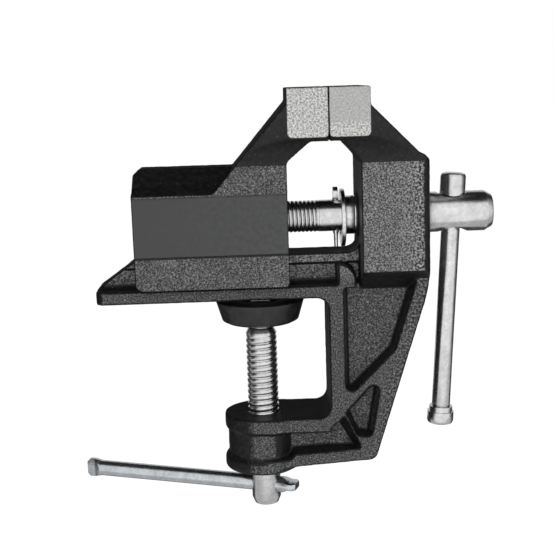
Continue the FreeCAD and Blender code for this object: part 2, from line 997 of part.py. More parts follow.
# ------------------------------------------------------------------ T-bar of the main screw
bar_centre = ("bar_place", "0", "screw_height")
main_bar = turned(
    "main_bar",
    "Z",
    [
        ("0", "-bar_low"),
        ("bar_dia / 2", "-bar_low"),
        ("bar_dia / 2", "bar_high"),
        ("0", "bar_high"),
    ],
    bar_centre,
    lean="bar_lean",
)
cap_bore = "bar_dia / 2 + cap_fit"
main_bar_cap_upper = turned(
    "main_bar_cap_upper",
    "Z",
    [
        (cap_bore, "cap_low"),
        ("cap_foot_dia / 2", "cap_low"),
        ("cap_dia / 2", "cap_shoulder"),
        *softened("cap_dia / 2", "cap_high", "cap_round", -1),
        ("0", "cap_high"),
        ("0", "bar_high + cap_fit"),
        (cap_bore, "bar_high + cap_fit"),
    ],
    bar_centre,
    lean="bar_lean",
)
main_bar_cap_lower = turned(
    "main_bar_cap_lower",
    "Z",
    [
        ("0", "-knob_end"),
        *softened("knob_dia / 2", "-knob_end", "cap_round", 1),
        ("knob_dia / 2", "-knob_top - knob_shoulder"),
        ("knob_shoulder_dia / 2", "-knob_top - knob_shoulder"),
        ("knob_shoulder_dia / 2", "-knob_top"),
        (cap_bore, "-knob_top"),
        (cap_bore, "-bar_low - cap_fit"),
        ("0", "-bar_low - cap_fit"),
    ],
    bar_centre,
    lean="bar_lean",
)

# ------------------------------------------------------------------ clamp screw, bar and pad
neck_step = "ring_top - ring_thick - ring_fit"
clamp_turned = turned(
    "clamp_turned",
    "Z",
    [
        ("0", "clamp_head_low"),
        *softened("clamp_head_dia / 2", "clamp_head_low", "clamp_head_round", 1),
        ("clamp_head_dia / 2", "clamp_head_top"),
        ("clamp_dia / 2", "clamp_head_top + 0.5"),
        ("clamp_dia / 2", "clamp_shoulder - clamp_cone"),
        ("clamp_cone_dia / 2", "clamp_shoulder"),
        ("clamp_neck_dia / 2", "clamp_shoulder"),
        ("clamp_neck_dia / 2", neck_step),
        ("clamp_tip_dia / 2", neck_step),
        ("clamp_tip_dia / 2", "clamp_end - 0.6"),
        ("clamp_tip_dia / 2 - 0.6", "clamp_end"),
        ("0", "clamp_end"),
    ],
)
clamp_bar_passage = cylinder(
    "clamp_bar_passage", "X", "clamp_bar_hole / 2", "30", ("-15", "0", "clamp_bar_height")
)
clamp_screw = cut("clamp_screw", clamp_turned, clamp_bar_passage)
bind_turn(clamp_screw, Vector(0, 0, 1), "clamp_bar_turn")
pad_retaining_ring = turned(
    "pad_retaining_ring",
    "Z",
    [
        ("clamp_tip_dia / 2 + ring_fit", "-ring_thick"),
        ("ring_dia / 2", "-ring_thick"),
        ("ring_dia / 2", "0"),
        ("clamp_tip_dia / 2 + ring_fit", "0"),
    ],
    ("0", "0", "ring_top"),
)
swivel_pad = turned(
    "swivel_pad",
    "Z",
    [
        ("pad_hole / 2", "pad_low - pad_hub"),
        ("pad_hub_end_dia / 2", "pad_low - pad_hub"),
        ("pad_hub_dia / 2", "pad_low"),
        ("pad_low_dia / 2 - pad_rim", "pad_low"),
        ("pad_low_dia / 2 + 0.3", "pad_low + pad_rim * 0.6"),
        ("pad_top_dia / 2", "pad_top"),
        ("pad_recess_dia / 2", "pad_top"),
        ("pad_recess_dia / 2", "pad_top - pad_recess"),
        ("pad_hole / 2", "pad_top - pad_recess"),
    ],
)
half_bar = "clamp_bar_dia / 2"
half_crimp = "crimp_wide / 2"
bar_round = turned(
    "bar_round",
    "X",
    [
        ("clamp_bar_start", "0"),
        ("clamp_bar_end", "0"),
        ("clamp_bar_end", half_crimp + " - crimp_round"),
        ("clamp_bar_end - crimp_round", half_crimp),
        ("clamp_bar_end - crimp_long * 0.5", half_crimp),
        ("clamp_bar_end - crimp_long", half_bar),
        ("clamp_bar_start + crimp_long", half_bar),
        ("clamp_bar_start + crimp_long * 0.5", half_crimp),
        ("clamp_bar_start + crimp_round", half_crimp),
        ("clamp_bar_start", half_crimp + " - crimp_round"),
    ],
)
bar_flats = prism(
    "bar_flats",
    "XY",
    [
        ("clamp_bar_start", "-crimp_thick / 2"),
        ("clamp_bar_start + crimp_long * 0.5", "-crimp_thick / 2"),
        ("clamp_bar_start + crimp_long", "-%s" % half_bar),
        ("clamp_bar_end - crimp_long", "-%s" % half_bar),
        ("clamp_bar_end - crimp_long * 0.5", "-crimp_thick / 2"),
        ("clamp_bar_end", "-crimp_thick / 2"),
        ("clamp_bar_end", "crimp_thick / 2"),
        ("clamp_bar_end - crimp_long * 0.5", "crimp_thick / 2"),
        ("clamp_bar_end - crimp_long", half_bar),
        ("clamp_bar_start + crimp_long", half_bar),
        ("clamp_bar_start + crimp_long * 0.5", "crimp_thick / 2"),
        ("clamp_bar_start", "crimp_thick / 2"),
    ],
    "-%s" % half_crimp,
    half_crimp,
)
clamp_bar = overlap("clamp_bar", bar_round, bar_flats)
bind_turn(clamp_bar, Vector(0, 0, 1), "clamp_bar_turn")
bind_place(clamp_bar, ("0", "0", "clamp_bar_height"))

# ------------------------------------------------------------------ checks and files
doc.recompute()
PIECES = [
    frame_casting,
    moving_jaw,
    jaw_nut,
    nut_lock_pin,
    main_screw,
    split_pin,
    thrust_washer,
    spacer_collar,
    shim_washer,
    main_bar,
    main_bar_cap_upper,
    main_bar_cap_lower,
    clamp_screw,
    clamp_bar,
    pad_retaining_ring,
    swivel_pad,
]
for item in doc.Objects:
    if "Invalid" in item.State or "Error" in item.State:
        raise RuntimeError("%s did not recompute: %s" % (item.Name, item.State))
os.makedirs("parts", exist_ok=True)
for piece in PIECES:
    shape = piece.Shape
    if shape.isNull() or not shape.isValid() or len(shape.Solids) != 1:
        raise RuntimeError("%s is not one valid solid" % piece.Label)
    shape.exportStep("parts/%s.step" % piece.Label)
    box = shape.BoundBox
    print("%-20s %9.1f mm3  x %7.2f %7.2f  y %7.2f %7.2f  z %7.2f %7.2f" % (
        piece.Label, shape.Volume, box.XMin, box.XMax, box.YMin, box.YMax, box.ZMin, box.ZMax
    ))
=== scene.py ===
"""Dresses the solids of a small clamp-on bench vise, and sets it in a plain studio."""

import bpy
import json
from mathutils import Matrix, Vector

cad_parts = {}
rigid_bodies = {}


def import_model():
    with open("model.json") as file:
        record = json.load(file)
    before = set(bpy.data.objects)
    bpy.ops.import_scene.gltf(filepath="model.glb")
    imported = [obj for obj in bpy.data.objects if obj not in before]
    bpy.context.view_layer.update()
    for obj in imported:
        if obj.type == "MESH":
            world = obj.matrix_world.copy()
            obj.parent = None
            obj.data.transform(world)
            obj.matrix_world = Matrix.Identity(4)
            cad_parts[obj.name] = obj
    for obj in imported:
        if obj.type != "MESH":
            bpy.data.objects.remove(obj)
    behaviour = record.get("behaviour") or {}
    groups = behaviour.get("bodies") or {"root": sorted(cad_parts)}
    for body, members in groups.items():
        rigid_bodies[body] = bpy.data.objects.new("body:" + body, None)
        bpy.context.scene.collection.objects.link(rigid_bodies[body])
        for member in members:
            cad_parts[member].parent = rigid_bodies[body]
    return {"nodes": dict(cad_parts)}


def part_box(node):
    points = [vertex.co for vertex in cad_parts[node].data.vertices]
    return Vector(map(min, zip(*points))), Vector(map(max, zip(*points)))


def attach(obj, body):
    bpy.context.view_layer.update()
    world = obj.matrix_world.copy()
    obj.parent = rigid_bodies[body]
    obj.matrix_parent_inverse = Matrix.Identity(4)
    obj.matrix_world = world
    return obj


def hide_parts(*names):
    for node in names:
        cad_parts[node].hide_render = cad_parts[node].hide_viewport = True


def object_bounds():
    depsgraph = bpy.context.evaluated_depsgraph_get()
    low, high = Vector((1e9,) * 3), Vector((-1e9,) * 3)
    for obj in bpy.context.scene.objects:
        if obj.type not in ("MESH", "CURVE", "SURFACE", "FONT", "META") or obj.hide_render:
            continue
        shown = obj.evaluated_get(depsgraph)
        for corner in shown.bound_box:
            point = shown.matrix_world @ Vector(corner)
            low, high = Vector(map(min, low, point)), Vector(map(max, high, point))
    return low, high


bl_info = {
    "name": "Clamp-on bench vise",
    "version": (1, 0, 0),
    "blender": (4, 2, 0),
    "location": "3D View > Sidebar > Vise",
    "description": "Cast frame and jaw, threaded screws, bars, pad and washers of a bench vise",
    "category": "Add Mesh",
}

import json
import math

import bmesh
import bpy
from bpy.props import FloatProperty, FloatVectorProperty, IntProperty, PointerProperty
from mathutils import Matrix, Vector, noise

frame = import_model()
CAD_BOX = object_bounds()

MM = 0.001

# Places and sizes on the vise are in mm in the frame's own axes: height 0 is the underside of
# the plate, and the clamp screw turns about the Z axis.

# Screws and bars. The clamp screw's bar lies CLAMP_BAR_TURN away from the X axis, and its short
# end starts CLAMP_BAR_CUT from the screw's axis.
MAIN_AXIS_Z = 38.8
MAIN_RADIUS = 8.0
MAIN_THREAD_END = 31.0
CLAMP_RADIUS = 8.0
CLAMP_THREAD_TOP = -20.2
CLAMP_THREAD_LOW = -90.9
CLAMP_BAR_TURN = math.radians(-19.7)
CLAMP_BAR_CUT = 5.0

# Jaw heads: the plane where they meet, their underside, the ground square on each side, and the
# sharp rim round the faces that meet, which starts a little under the heads
JAW_PLANE = 35.4
JAW_HEAD_LOW = 79.4
JAW_HEAD_SIDE = 29.6
JAW_SQUARE = 19.8
JAW_SQUARE_ROUND = 2.4
JAW_RIM = 1.5
JAW_RIM_BELOW = 2.0

# Paint: the smooth panel on the moving jaw with a painted shade in the groove under it, the level
# above which all paint is smooth and dark, a painted shade of the sloping cheeks, and the frame's
# right edge, which leans inwards by SPINE_LEAN for each mm under the plate, and near which the
# painted glints are brighter
PANEL_LOW = 23.6
PANEL_TOP = 52.8
PANEL_FADE = 0.25
GROOVE_LOW = (22.5, 23.0)
GROOVE_TOP = (23.65, 24.0)
GROOVE_SHADE = (0.002, 0.002, 0.002)
SMOOTH_SHADED_LOW = 66.3
BLOCK_RIGHT = 84.0
SPINE_LEAN = 0.256

# The boss grows by a share of its size, faded in and out over these stretches
BOSS_GROWTH = 0.085
BOSS_BORE = (12.0, 16.5)
BOSS_RIM = (20.5, 27.0)
BOSS_RIGHT = (4.0, 14.0)
BOSS_TOP = (-58.0, -52.0)

# Wavelengths of the castings' unevenness, and the fine waves' height against the broad ones
WAVE_BROAD = 3.1
WAVE_FINE = 1.6
WAVE_FINE_SHARE = 0.5

# Edges that turn by more than this, in radians, are broken and stay visible. A bevel takes at
# most EDGE_SHARE of a piece's least size.
SHARP = 0.6
SHARP_ON_THREAD = 0.9
EDGE_SHARE = 0.15

# How near two corners are that are one, and how far beyond a level a corner still counts
WELD = 0.001
SLACK = 0.01

# Thread meshes: points around, rows in a turn, the crest's share of half a turn, how steeply
# the flanks narrow towards the root, and the depth at which a thread runs out
THREAD_AROUND = 64
THREAD_ROWS = 12
THREAD_CREST = 0.18
THREAD_FLANK = 1.6
THREAD_RUN_OUT = 0.35

# Stage, in metres. The floor glows for rays that see it directly, so that it stays white, and
# the rest of it takes the vise's shadow.
FLOOR_DROP = 0.20
FLOOR_REACH = 6.0
FLOOR_GLOW = 1.10
FLOOR_GLOW_SHARE = 0.88
LAMP_AIM = (0.02, 0.0, 0.0)

# Lamps: name, place, width, share of the key light's power, whether polish mirrors it, and
# whether it lights everything or only the dull or the bright surfaces
LAMPS = (
    ("key", (0.05, -1.15, 0.25), 2.0, 1.0, True, "dull"),
    ("back", (-0.3, 1.2, 0.3), 1.4, 0.42, False, "all"),
    ("metal_front", (0.05, -1.1, 0.2), 0.8, 0.04, True, "bright"),
    ("metal_back", (0.02, 0.62, 0.0), 1.0, 0.21, True, "bright"),
    ("metal_above", (0.0, 0.0, 0.57), 0.34, 0.014, True, "bright"),
    ("metal_left", (-0.76, 0.12, 0.05), 0.36, 0.013, True, "bright"),
)

# Cards that only polish mirrors: name, how many times as light as the darkest, two corners
CARDS = (
    ("card_back", 3.0, (-0.8, 0.75, -0.28), (0.7, 0.75, 0.6)),
    ("card_top", 1.0, (-0.8, -0.28, 0.6), (0.7, 0.75, 0.6)),
    ("card_top_near", 16.0, (-0.8, -0.42, 0.6), (0.7, -0.28, 0.6)),
    ("card_left", 3.0, (-0.8, -0.42, -0.28), (-0.8, 0.75, 0.6)),
    ("card_left_near", 18.0, (-0.8, -0.75, -0.28), (-0.8, -0.42, 0.6)),
    ("card_right", 2.0, (0.7, 0.10, -0.28), (0.7, 0.75, 0.6)),
    ("card_right_near", 16.0, (0.7, -0.15, -0.28), (0.7, 0.10, 0.6)),
    ("card_low", 3.0, (-0.8, 0.12, -0.28), (0.7, 0.75, -0.28)),
    ("card_low_near", 28.0, (-0.8, -0.22, -0.28), (0.7, 0.12, -0.28)),
)

# Camera: how far, in mm, it stands to the right of the clamp screw, how it is turned, its lens
CAMERA_ASIDE = 1.45
CAMERA_YAW = math.radians(0.8)
CAMERA_PITCH = math.radians(10.3)
CAMERA_ROLL = math.radians(1.85)
SENSOR_WIDTH = 36.0
CLIP_START = 0.01


# ---------------------------------------------------------------- settings
class CastingSettings(bpy.types.PropertyGroup):
    """Frame and moving jaw"""

    grid: FloatProperty(
        name="Surface grid",
        description="Edge length of the casting's surface mesh",
        default=0.6 * MM,
        min=0.3 * MM,
        unit="LENGTH",
    )
    rounding: IntProperty(
        name="Edge rounding",
        description="Smoothing steps that round the casting's edges",
        default=3,
        min=0,
    )
    waviness: FloatProperty(
        name="Waviness",
        description="Depth of the sand mould's unevenness",
        default=0.09 * MM,
        unit="LENGTH",
    )
    paint: FloatVectorProperty(
        name="Paint",
        description="Colour of the hammered paint",
        default=(0.0065, 0.0065, 0.0069),
        size=3,
        subtype="COLOR",
    )
    # The bright grains of the hammered paint in this colour are painted glints, which stand in
    # for light caught on its lumps.
    painted_glint: FloatVectorProperty(
        name="Flake",
        description="Colour of the bright grains in the hammered paint",
        default=(0.80, 0.80, 0.81),
        size=3,
        subtype="COLOR",
    )
    panel: FloatVectorProperty(
        name="Panel",
        description="Colour of the smooth panel on the moving jaw",
        default=(0.088, 0.089, 0.091),
        size=3,
        subtype="COLOR",
    )
    bare: FloatVectorProperty(
        name="Bare iron",
        description="Colour of the ground sides of the jaw heads",
        default=(0.43, 0.43, 0.42),
        size=3,
        subtype="COLOR",
    )


class ScrewSettings(bpy.types.PropertyGroup):
    """Main screw and clamp screw"""

    main_pitch: FloatProperty(
        name="Main pitch",
        description="Pitch of the main screw's thread",
        default=2.0 * MM,
        unit="LENGTH",
    )
    main_depth: FloatProperty(
        name="Main depth",
        description="Depth of the main screw's thread",
        default=0.48 * MM,
        unit="LENGTH",
    )
    clamp_pitch: FloatProperty(
        name="Clamp pitch",
        description="Pitch of the clamp screw's thread",
        default=3.0 * MM,
        unit="LENGTH",
    )
    clamp_depth: FloatProperty(
        name="Clamp depth",
        description="Depth of the clamp screw's thread",
        default=0.74 * MM,
        unit="LENGTH",
    )
    zinc: FloatVectorProperty(
        name="Zinc",
        description="Colour of the bright zinc plate",
        default=(0.69, 0.69, 0.695),
        size=3,
        subtype="COLOR",
    )


class SmallPartSettings(bpy.types.PropertyGroup):
    """Bars, washers, pin, nut and pad"""

    edge: FloatProperty(
        name="Broken edge",
        description="Width of the bevel on turned and stamped edges",
        default=0.3 * MM,
        unit="LENGTH",
    )
    bar_zinc: FloatVectorProperty(
        name="Bar zinc",
        description="Colour of the clamp screw's bar, a little bluer",
        default=(0.61, 0.64, 0.665),
        size=3,
        subtype="COLOR",
    )
    steel: FloatVectorProperty(
        name="Plain steel",
        description="Colour of the nut, its pin and the pad's ring",
        default=(0.36, 0.35, 0.34),
        size=3,
        subtype="COLOR",
    )
    pad: FloatVectorProperty(
        name="Pad",
        description="Colour of the swivel pad",
        default=(0.012, 0.012, 0.013),
        size=3,
        subtype="COLOR",
    )


class StageSettings(bpy.types.PropertyGroup):
    """Floor, lights and camera"""

    backdrop: FloatVectorProperty(
        name="Backdrop",
        description="Colour of the floor and of the space behind",
        default=(1.0, 1.0, 1.0),
        size=3,
        subtype="COLOR",
    )
    key_power: FloatProperty(
        name="Key light",
        description="Power of the large light beside the camera",
        default=9.0,
        unit="POWER",
    )
    fill: FloatProperty(
        name="Fill",
        description="Strength of the light that comes from all round",
        default=0.55,
    )
    card: FloatProperty(
        name="Card",
        description="How light the dark cards are that polished metal mirrors",
        default=0.02,
        min=0.0,
    )
    distance: FloatProperty(
        name="Camera distance",
        description="How far in front of the screws' plane the camera stands",
        default=545.0 * MM,
        unit="LENGTH",
    )
    height: FloatProperty(
        name="Camera height",
        description="How far the camera is above the plate's underside",
        default=107.22 * MM,
        unit="LENGTH",
    )
    focal_pixels: FloatProperty(
        name="Focal length",
        description="Focal length in pixels of the frame",
        default=1090.0,
    )
    frame_pixels: IntProperty(
        name="Frame",
        description="Side of the square frame in pixels",
        default=554,
        subtype="PIXEL",
    )


# ---------------------------------------------------------------- shader values
class Value:
    """A socket among a surface's nodes. Sums on it add the nodes that work them out."""

    def __init__(self, nodes, socket):
        self.nodes = nodes
        self.socket = socket

    def _maths(self, operation, first, second):
        return self.nodes.node(
            "ShaderNodeMath", {"operation": operation}, {0: first, 1: second}
        )

    def __add__(self, other):
        return self._maths("ADD", self, other)

    def __radd__(self, other):
        return self._maths("ADD", other, self)

    def __sub__(self, other):
        return self._maths("SUBTRACT", self, other)

    def __rsub__(self, other):
        return self._maths("SUBTRACT", other, self)

    def __mul__(self, other):
        return self._maths("MULTIPLY", self, other)

    def __rmul__(self, other):
        return self._maths("MULTIPLY", other, self)

    def __pow__(self, other):
        return self._maths("POWER", self, other)

    def __abs__(self):
        return self._maths("ABSOLUTE", self, 0.0)

    def over(self, least):
        """The value itself, but never under a least value."""
        return self._maths("MAXIMUM", self, least)

    def rise(self, low, high):
        """0 below low, 1 above high, and a smooth slope between them."""
        return self.nodes.node(
            "ShaderNodeMapRange",
            {"interpolation_type": "SMOOTHSTEP"},
            {"Value": self, "From Min": low, "From Max": high},
        )

    def fall(self, low, high):
        """1 below low, 0 above high, and a smooth slope between them."""
        return 1 - self.rise(low, high)


def rgba(tint):
    """A colour as a socket takes it."""
    return tint if isinstance(tint, Value) else (*tuple(tint)[:3], 1.0)


def times(tint, factor):
    """A colour made lighter or darker."""
    return tuple(min(1.0, part * factor) for part in tint)


class Nodes:
    """The nodes of a material or a world."""

    def __init__(self, tree):
        self.tree = tree
        self.tree.nodes.clear()

    def node(self, kind, settings=None, inputs=None, output=0):
        """Adds a node, sets it up, feeds its sockets and returns one of its outputs."""
        made = self.tree.nodes.new(kind)
        for key, setting in (settings or {}).items():
            setattr(made, key, setting)
        for key, value in (inputs or {}).items():
            if isinstance(value, Value):
                self.tree.links.new(value.socket, made.inputs[key])
            else:
                made.inputs[key].default_value = value
        return Value(self, made.outputs[output]) if made.outputs else None

    def seen_directly(self):
        """1 for what the camera, a mirror or glass sees, and 0 for light on other surfaces."""
        camera, glossy, clear = (
            self.node("ShaderNodeLightPath", output=ray)
            for ray in ("Is Camera Ray", "Is Glossy Ray", "Is Transmission Ray")
        )
        return camera.over(glossy).over(clear)


class Finish(Nodes):
    """A material that is being made."""

    def __init__(self, name):
        self.material = bpy.data.materials.new(name)
        self.material.use_nodes = True
        super().__init__(self.material.node_tree)

    def cover(self, shader):
        """Gives the material its shader, and returns the material."""
        self.node("ShaderNodeOutputMaterial", None, {"Surface": shader})
        return self.material

    def coat(self, **sockets):
        """The Principled shader. An underscore in a socket's name stands for a space."""
        inputs = {key.replace("_", " "): value for key, value in sockets.items()}
        return self.node("ShaderNodeBsdfPrincipled", None, inputs)

    def place(self, stretch=(1.0, 1.0, 1.0)):
        """Where a point is on the piece, in mm, each axis stretched by a factor."""
        metres = self.node("ShaderNodeTexCoord", output="Object")
        scale = tuple(part / MM for part in stretch)
        return self.node(
            "ShaderNodeVectorMath", {"operation": "MULTIPLY"}, {0: metres, 1: scale}
        )

    def parts(self, vector):
        """The X, Y and Z parts of a vector."""
        return [
            self.node("ShaderNodeSeparateXYZ", None, {0: vector}, axis) for axis in range(3)
        ]

    def facing(self):
        """The parts of the direction that the surface faces on the piece."""
        return self.parts(self.node("ShaderNodeTexCoord", output="Normal"))

    def noise(self, place, scale, detail=2.0, roughness=0.5):
        """Cloudy noise around 0.5, with so many clouds per mm."""
        return self.node(
            "ShaderNodeTexNoise",
            {"noise_dimensions": "3D"},
            {"Vector": place, "Scale": scale, "Detail": detail, "Roughness": roughness},
        )

    def cells(self, place, scale, smooth):
        """Round drops with so many per mm, 0 in the middle of each."""
        return self.node(
            "ShaderNodeTexVoronoi",
            {"feature": "SMOOTH_F1"},
            {"Vector": place, "Scale": scale, "Smoothness": smooth},
        )

    def mix(self, amount, first, second):
        """One colour to another as amount goes from 0 to 1."""
        return self.node(
            "ShaderNodeMix",
            {"data_type": "RGBA"},
            {0: amount, 6: rgba(first), 7: rgba(second)},
            2,
        )

    def bump(self, height, depth):
        """A relief whose height runs from 0 to 1 over a depth in mm."""
        return self.node("ShaderNodeBump", None, {"Distance": depth * MM, "Height": height})


# ---------------------------------------------------------------- finishes
def jaw_square(x, y, z, on_jaw):
    """1 on the ground side of a jaw head, a square with round lower corners."""
    half = JAW_SQUARE / 2
    corner = JAW_SQUARE_ROUND
    middle = JAW_PLANE - half if on_jaw else JAW_PLANE + half
    across = (abs(x - middle) - (half - corner)).over(0.0)
    below = (JAW_HEAD_LOW + corner - z).over(0.0)
    off_square = (across**2 + below**2) ** 0.5
    return off_square.fall(corner - 0.35, corner) * abs(y).rise(
        JAW_HEAD_SIDE - 0.15, JAW_HEAD_SIDE
    )


def bare_iron(f, casting, z, grain, on_jaw):
    """Ground iron, lighter and less plain low on the fixed jaw and all over the moving one."""
    low_band = z.fall(JAW_HEAD_LOW + 4.0, JAW_HEAD_LOW + 8.5)
    if on_jaw:
        bright = 1.15 + low_band * 0.1
        contrast = 1.0
    else:
        bright = 0.88 + low_band * 0.35
        contrast = 0.35 + low_band * 0.65
    speck = (grain - 0.5) * contrast + 0.5
    return f.mix(
        speck.rise(0.34, 0.68) * bright, times(casting.bare, 0.62), times(casting.bare, 1.65)
    )


def hammered(f, casting, grit, coarse_grit, light, bold, glint_peaks):
    """Dark paint full of light grains, which are painted glints, larger, crisper and brighter
    where bold is 1.
    """
    coarse_share = bold * 0.75
    grain = grit.rise(0.38, 0.64) * (1 - coarse_share) + (
        coarse_grit.rise(0.46, 0.59) * coarse_share
    )
    # The tones of the painted glints, further apart where bold is 1.
    low_tone = f.mix(bold, times(casting.painted_glint, 0.055), times(casting.painted_glint, 0.010))
    high_tone = f.mix(bold, times(casting.painted_glint, 0.40), times(casting.painted_glint, 0.62))
    # light is how much of the painted glints shows over the dark paint.
    paint_with_glints = f.mix(light, casting.paint, f.mix(grain, low_tone, high_tone))
    # The brightest painted glints, where grit is highest.
    return f.mix(grit.rise(0.60, 0.78) * glint_peaks, paint_with_glints, casting.painted_glint)


def smooth_paint(f, casting, grit, broad):
    """Dark paint without grains but for a few faint painted glints."""
    clouded = f.mix(
        broad.rise(0.35, 0.7), times(casting.paint, 0.8), times(casting.paint, 1.9)
    )
    # A few faint painted glints.
    return f.mix(grit.rise(0.62, 0.76) * 0.10, clouded, casting.painted_glint)


def panel_with_sheen(f, casting, x, broad):
    """The moving jaw's smooth grey panel, with a painted sheen in broad patches and a painted
    shade that makes it a little darker to the left.
    """
    # Painted sheen in broad patches.
    sheen_patches = f.mix(
        broad.rise(0.3, 0.7), times(casting.panel, 0.8), times(casting.panel, 1.25)
    )
    # Painted shade, darker to the left.
    return f.mix(x.rise(-65.0, 20.0) * 0.5, times(casting.panel, 0.75), sheen_patches)


def cast_finish(name, casting, on_jaw):
    """Hammered paint over cast iron with painted glints on its grain, and bare jaw sides; the jaw
    also has a smooth panel with a painted sheen, and a painted shade in the groove under it.
    """
    f = Finish(name)
    place = f.place()
    x, y, z = f.parts(place)
    to_x, to_y, _ = f.facing()
    side = abs(to_y).rise(0.90, 0.985)
    end = abs(to_x).rise(0.93, 0.99)
    grit = f.noise(place, 1.3, 2.0, 0.6)
    coarse_grit = f.noise(place, 0.92, 2.0, 0.55)
    metal_grit = f.noise(place, 1.1, 2.0, 0.6)
    drops = f.cells(place, 0.95, 0.35)
    broad = f.noise(place, 0.42, 3.0)
    patches = f.noise(place, 0.10, 2.0)
    # Hammered grain, whose light is painted glints: full on faces that face sideways, less on the
    # ends, and none above the smooth level, where the plain dark paint is a painted shade of the
    # sloping cheeks.
    grain_and_glints = (side + (1 - side) * end * 0.4) * z.fall(
        SMOOTH_SHADED_LOW, SMOOTH_SHADED_LOW + 0.5
    )
    if on_jaw:
        panel = side * z.rise(PANEL_LOW, PANEL_LOW + PANEL_FADE)
        panel = panel * z.fall(PANEL_TOP - PANEL_FADE, PANEL_TOP)
        # Where the painted shade of the groove under the panel goes.
        groove = side * z.rise(*GROOVE_LOW) * z.fall(*GROOVE_TOP)
        grain_and_glints = grain_and_glints * (1 - panel)
        light = 0.42 + patches * 0.35
        bold = patches.rise(0.45, 0.65) * 0.5
    else:
        # The painted glints show more above the plate, so the C under it is darker.
        light = 0.36 + patches * 0.22 + z.rise(6.0, 16.0) * 0.55
        # The grain is coarser near the frame's right edge, and its painted glints brighter.
        right_edge = BLOCK_RIGHT - (0 - z).over(0.0) * SPINE_LEAN
        bold = (x - right_edge).rise(-20.0, -5.0)
    # Painted glints over the dark paint, the brightest of them in patches.
    paint_with_glints = hammered(f, casting, grit, coarse_grit, light, bold, 0.25 + patches * 0.5)
    painted = f.mix(grain_and_glints, smooth_paint(f, casting, grit, broad), paint_with_glints)
    rough = 0.30 + grain_and_glints * 0.16 + grit * 0.08 + patches * (1 - grain_and_glints) * 0.12
    if on_jaw:
        # The panel, with its painted sheen and painted shade.
        painted = f.mix(panel, painted, panel_with_sheen(f, casting, x, broad))
        # Painted shade in the groove under the panel.
        painted = f.mix(groove * 0.9, painted, GROOVE_SHADE)
        rough = rough + panel * 0.06
    bare = jaw_square(x, y, z, on_jaw)
    relief = grit * 0.7 + drops * 0.5 + broad * 0.25
    depth = grain_and_glints * (0.9 + bold * 0.5) + 0.08
    return f.cover(
        f.coat(
            Base_Color=f.mix(bare, painted, bare_iron(f, casting, z, metal_grit, on_jaw)),
            Metallic=bare * 0.35,
            Roughness=rough + bare * 0.10,
            Specular_IOR_Level=0.22,
            Normal=f.bump(relief * depth * (1 - bare) + bare * metal_grit * 0.35, 0.5),
        )
    )


def turned_finish(name, tint, axis, worn=0.5):
    """Bright plated steel with fine turning lines around an axis, 0 to 2 for X to Z."""
    f = Finish(name)
    stretch = [0.35, 0.35, 0.35]
    stretch[axis] = 6.0
    rings = f.noise(f.place(stretch), 1.0, 2.0, 0.6)
    place = f.place()
    cloud = f.noise(place, 0.16, 3.0, 0.6)
    mottle = f.noise(place, 0.55, 3.0, 0.6)
    specks = f.noise(place, 1.4, 3.0, 0.7)
    shade = f.mix(cloud.rise(0.3, 0.7), times(tint, 0.90), times(tint, 1.10))
    shade = f.mix(mottle.rise(0.40, 0.75) * 0.5, shade, times(tint, 0.70))
    return f.cover(
        f.coat(
            Base_Color=f.mix(specks.rise(0.60, 0.8) * worn, shade, times(tint, 0.40)),
            Metallic=1.0,
            Roughness=0.14 + cloud * 0.08 + mottle * 0.08,
            Normal=f.bump(rings + specks * 0.4 + mottle * 0.8, 0.035),
        )
    )


def pad_finish(name, tint):
    """Satin black enamel on a turned pad."""
    f = Finish(name)
    place = f.place()
    cloud = f.noise(place, 0.25, 4.0, 0.6)
    grit = f.noise(place, 1.6, 2.0)
    return f.cover(
        f.coat(
            Base_Color=f.mix(cloud.rise(0.4, 0.75), tint, times(tint, 2.2)),
            Roughness=0.26 + cloud * 0.14,
            Specular_IOR_Level=0.4,
            Normal=f.bump(cloud * 0.6 + grit * 0.4, 0.10),
        )
    )


# ---------------------------------------------------------------- meshes
def add_piece(name, mesh, body, material, node):
    """Puts a mesh in the scene on a CAD body, in the place of a CAD node."""
    piece = bpy.data.objects.new(name, mesh)
    bpy.context.scene.collection.objects.link(piece)
    mesh.materials.clear()
    mesh.materials.append(material)
    for face in mesh.polygons:
        face.material_index = 0
    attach(piece, body)
    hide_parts(node)


def welded(node):
    """A bmesh of a CAD node with its seams closed."""
    shape = bmesh.new()
    shape.from_mesh(frame["nodes"][node].data)
    bmesh.ops.remove_doubles(shape, verts=shape.verts, dist=WELD * MM)
    return shape


def to_mesh(shape, name, smooth=True):
    """Turns a bmesh into a mesh and frees it."""
    mesh = bpy.data.meshes.new(name)
    shape.to_mesh(mesh)
    shape.free()
    for face in mesh.polygons:
        face.use_smooth = smooth
    return mesh


def modified(shape, node, kind, **settings):
    """A bmesh of the shape after one modifier."""
    carrier = bpy.data.objects.new(node + "_carrier", to_mesh(shape, node + "_skin"))
    bpy.context.scene.collection.objects.link(carrier)
    modifier = carrier.modifiers.new(kind.title(), kind)
    for key, setting in settings.items():
        setattr(modifier, key, setting)
    evaluated = carrier.evaluated_get(bpy.context.evaluated_depsgraph_get())
    after = bmesh.new()
    after.from_mesh(bpy.data.meshes.new_from_object(evaluated))
    bpy.data.objects.remove(carrier)
    return after


def bevelled(shape, node, edge):
    """A bmesh of the shape with its sharp edges broken."""
    return modified(
        shape, node, "BEVEL", width=edge, segments=2, limit_method="ANGLE", angle_limit=SHARP
    )


def close_holes(shape):
    """Puts a face in every hole of a bmesh."""
    rims = [edge for edge in shape.edges if edge.is_boundary]
    bmesh.ops.holes_fill(shape, edges=rims, sides=0)


